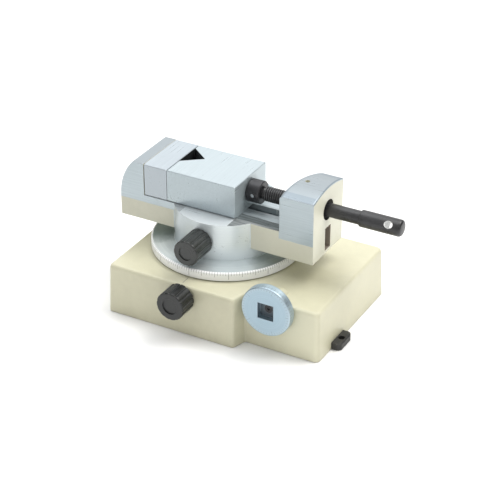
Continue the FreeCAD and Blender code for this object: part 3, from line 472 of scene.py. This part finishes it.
USE = {
    "base_casting": "base", "bottom_cover": "zinc", "cover_screws": "bolt", "thrust_washer": "bronzez",
    "dial_bush": "bronze", "worm_front_bush": "bronze", "worm_rear_bush": "bronze", "idler_stud": "steel",
    "hold_down_lug_right": "lug", "hold_down_lug_left": "lug", "lug_screws": "bolt", "table_lock_insert": "oxide",
    "rotary_table": "table", "worm_wheel": "bronzez", "wheel_screws": "bolt", "wheel_dowels": "steelz",
    "swivel_post": "steelz", "post_bolt": "bolt", "vise_body": "vise", "fixed_jaw": "fixed",
    "fixed_jaw_screws": "bolt", "screw_nut": "bronze", "nut_grub_screw": "bolt", "vise_lock_insert": "oxide",
    "moving_jaw": "jaw", "jaw_key": "steelz", "jaw_key_screws": "bolt", "jaw_retaining_pins": "steelz",
    "lead_screw": "screw", "screw_collar": "oxide", "collar_pin": "steel", "dial": "dial", "dial_shaft": "steel",
    "dial_screw": "bolt", "dial_pinion": "steel", "idler_gear": "steel", "worm_spur_gear": "steel",
    "worm_shaft": "steel", "table_lock_knob": "knob_shaded", "table_lock_screw": "steel", "table_lock_pad": "bronze",
    "vise_lock_knob": "knob", "vise_lock_screw": "steel", "vise_lock_pad": "bronze",
}
for name, o in NODES.items():
    m = MAT[USE.get(name, "steel")]
    if not o.material_slots:
        o.data.materials.append(m)
    for s in o.material_slots:
        s.material = m


# ------------------------------------------------------------------ new pieces
def mesh_object(name, verts, faces, mat, smooth=True):
    me = bpy.data.meshes.new(name)
    me.from_pydata([tuple(v) for v in verts], [], faces)
    me.update()
    o = bpy.data.objects.new(name, me)
    bpy.context.scene.collection.objects.link(o)
    me.materials.append(mat)
    for p in me.polygons:
        p.use_smooth = smooth
    return o


def smooth_by_angle(o, deg):
    me = o.data
    bm = bmesh.new()
    bm.from_mesh(me)
    for e in bm.edges:
        e.smooth = len(e.link_faces) == 2 and e.calc_face_angle(0) < math.radians(deg)
    for f in bm.faces:
        f.smooth = True
    bm.to_mesh(me)
    bm.free()


def lathe_x(profile, z0, seg=96):
    """Closed solid of revolution about an axis along X at height z0; profile is (x, r) in mm."""
    vs, fs = [], []
    rings = []
    for x, r in profile:
        if r <= 0:
            rings.append([len(vs)])
            vs.append((x * MM, 0, z0 * MM))
        else:
            rings.append(list(range(len(vs), len(vs) + seg)))
            for k in range(seg):
                a = 2 * math.pi * k / seg
                vs.append((x * MM, r * MM * math.cos(a), (z0 + r * math.sin(a)) * MM))
    for a, b in zip(rings, rings[1:]):
        for k in range(seg):
            k2 = (k + 1) % seg
            if len(a) == 1:
                fs.append((a[0], b[k2], b[k]))
            elif len(b) == 1:
                fs.append((a[k], a[k2], b[0]))
            else:
                fs.append((a[k], a[k2], b[k2], b[k]))
    return vs, fs


def arc(x, r, rad, a0, a1, n=5):
    return [(x + rad * math.sin(math.radians(a0 + (a1 - a0) * i / n)), r + rad * math.cos(math.radians(a0 + (a1 - a0) * i / n)))
            for i in range(n + 1)]


def lead_screw():
    z0 = 78.3
    x_a, x_b = 26.45, 71.6          # threaded length
    crest, root, pitch, seg = 4.93, 4.02, 1.5, 40
    # bar: spigot, core under the thread, rod, head with rounded end
    prof = [(2.0, 0), (2.0, 3.1), (2.4, 3.5), (5.6, 3.5), (5.65, 2.4), (8.35, 2.4), (8.4, 3.5), (x_a, 3.5), (x_a, 3.55),
            (x_a + 0.3, root - 0.02), (x_b - 0.8, root - 0.02), (x_b - 0.2, 4.45), (x_b, 4.5), (94.2, 4.5), (94.9, 4.62),
            (95.0, 4.8)] + arc(95.6, 4.9, 0.6, -90, 0, 4) + [(100.0, 5.5)]
    prof += [(x, 5.5) for x in (104.0, 108.0, 115.0, 118.5)] + [(121.0, 5.5)] + arc(121.0, 3.4, 2.1, 12, 88, 7) + [(123.28, 2.6), (123.28, 0)]
    vs, fs = lathe_x(prof, z0, 128)
    bar = mesh_object("lead_screw_bar", vs, fs, MAT["screw"])
    # cross hole, cut with a fine cylinder
    bpy.context.view_layer.update()
    bm = bmesh.new()
    place = Matrix.Translation((115.0 * MM, 0, z0 * MM)) @ Matrix.Rotation(math.radians(90 - 33.66), 4, "X")
    # a through hole that opens into a small countersink at both ends
    hp = [(-9.0, 6.5), (-4.95, 2.5), (4.95, 2.5), (9.0, 6.5)]
    ring = []
    for zc, rc in hp:
        ring.append([bm.verts.new(place @ Vector((rc * MM * math.cos(2 * math.pi * q / 72), rc * MM * math.sin(2 * math.pi * q / 72), zc * MM)))
                     for q in range(72)])
    for ra, rb in zip(ring, ring[1:]):
        for q in range(72):
            bm.faces.new((ra[q], ra[(q + 1) % 72], rb[(q + 1) % 72], rb[q]))
    bm.faces.new(list(reversed(ring[0])))
    bm.faces.new(ring[-1])
    bmesh.ops.recalc_face_normals(bm, faces=bm.faces)
    cm = bpy.data.meshes.new("cutter")
    bm.to_mesh(cm)
    bm.free()
    cutter = bpy.data.objects.new("cutter", cm)
    bpy.context.scene.collection.objects.link(cutter)
    md = bar.modifiers.new("hole", "BOOLEAN")
    md.operation, md.solver, md.object = "DIFFERENCE", "EXACT", cutter
    dg = bpy.context.evaluated_depsgraph_get()
    me = bpy.data.meshes.new_from_object(bar.evaluated_get(dg))
    bar.modifiers.clear()
    bar.data = me
    bpy.data.objects.remove(cutter)
    smooth_by_angle(bar, 24)
    # right-hand thread with run-outs
    vs, fs = [], []
    turns = (x_b - x_a - 1.9) / pitch
    steps = int(turns * seg)
    pr = [(0.0, 0.0), (0.12, 0.0), (0.42, 1.0), (0.58, 1.0), (0.88, 0.0), (1.0, 0.0)]
    for i in range(steps + 1):
        a = 2 * math.pi * i / seg
        run = min(1.0, i / (seg * 0.8), (steps - i) / (seg * 0.8))
        for u, h in pr:
            r = root + (crest - root) * h * run
            x = x_a + 0.15 + pitch * (i / seg + u)
            # a right-hand thread advances along +X as the angle grows from +Y to +Z
            vs.append((x * MM, r * MM * math.cos(a), (z0 + r * math.sin(a)) * MM))
    k = len(pr)
    for i in range(steps):
        for j in range(k - 1):
            p = i * k + j
            fs.append((p, p + 1, p + k + 1, p + k))
    th = mesh_object("lead_screw_thread", vs, fs, MAT["screw"])
    smooth_by_angle(th, 30)
    for o in (bar, th):
        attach(o, "screw")
    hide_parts("lead_screw")
    return bar, th


lead_screw()

# ------------------------------------------------------------------ floor, light, camera
fl = mesh_object("floor", [(-3, -3, -0.0003), (3, -3, -0.0003), (3, 3, -0.0003), (-3, 3, -0.0003)], [(0, 1, 2, 3)], None or bpy.data.materials.new("floor"), False)
fm = fl.data.materials[0]
fm.use_nodes = True
fb = fm.node_tree.nodes["Principled BSDF"]
fb.inputs["Base Color"].default_value = (0.93, 0.93, 0.93, 1)
fb.inputs["Roughness"].default_value = 0.9
fb.inputs["Specular IOR Level"].default_value = 0.1

w = bpy.data.worlds.new("studio")
bpy.context.scene.world = w
w.use_nodes = True
bg = w.node_tree.nodes["Background"]
bg.inputs[0].default_value = (1.0, 1.0, 1.0, 1)
bg.inputs[1].default_value = 0.70


def area(name, loc, size, power, target=(0.02, 0, 0.04), color=(1, 1, 1)):
    l = bpy.data.lights.new(name, "AREA")
    l.shape, l.size, l.size_y, l.energy, l.color = "RECTANGLE", size[0], size[1], power, color
    o = bpy.data.objects.new(name, l)
    bpy.context.scene.collection.objects.link(o)
    o.location = loc
    o.rotation_mode = "QUATERNION"
    o.rotation_quaternion = (Vector(loc) - Vector(target)).to_track_quat("Z", "Y")
    return o


area("key", (0.50, 0.38, 1.15), (0.7, 0.7), 12.0, color=(1.0, 0.98, 0.945))
area("top", (-0.25, 0.15, 1.1), (0.9, 0.9), 6.0, color=(0.97, 0.985, 1.0))
area("back_panel", (-0.54, 0.99, 0.68), (1.3, 0.7), 1.7, color=(0.985, 0.99, 1.0))

# dark flags to the left and right, seen only in polished metal
for name, px, py, ang in (("flag_left", -0.62, -0.34, 28.81), ("flag_right", 0.62, 0.34, 28.81)):
    ca, sa = math.cos(math.radians(ang)), math.sin(math.radians(ang))
    q = [(px - sa * u, py + ca * u, v) for u, v in ((-0.35, 0.0), (0.35, 0.0), (0.35, 0.55), (-0.35, 0.55))]
    fo = mesh_object(name, q, [(0, 1, 2, 3)], bpy.data.materials.new(name), False)
    mm = fo.data.materials[0]
    mm.use_nodes = True
    pb = mm.node_tree.nodes["Principled BSDF"]
    pb.inputs["Base Color"].default_value = (0.02, 0.02, 0.02, 1)
    pb.inputs["Roughness"].default_value = 0.9
    pb.inputs["Specular IOR Level"].default_value = 0.0
    fo.visible_camera = fo.visible_diffuse = fo.visible_shadow = fo.visible_transmission = False

AZ, EL, DIST, FPX = 28.81, 30.26, 1.0669, 1638.8
T = Vector((0.01653, 0, 0.03344))
a, e = math.radians(AZ), math.radians(EL)
back = Vector((math.sin(a) * math.cos(e), -math.cos(a) * math.cos(e), math.sin(e)))
cam = bpy.data.cameras.new("camera")
co = bpy.data.objects.new("camera", cam)
bpy.context.scene.collection.objects.link(co)
bpy.context.scene.camera = co
cam.sensor_width = 36
cam.lens = FPX / 500 * 36
cam.clip_start, cam.clip_end = 0.05, 20
co.rotation_mode = "QUATERNION"
co.location = T + back * DIST
co.rotation_quaternion = (-back).to_track_quat("-Z", "Y")
bpy.context.scene.view_settings.view_transform = "Standard"
bpy.context.scene.view_settings.look = "None"
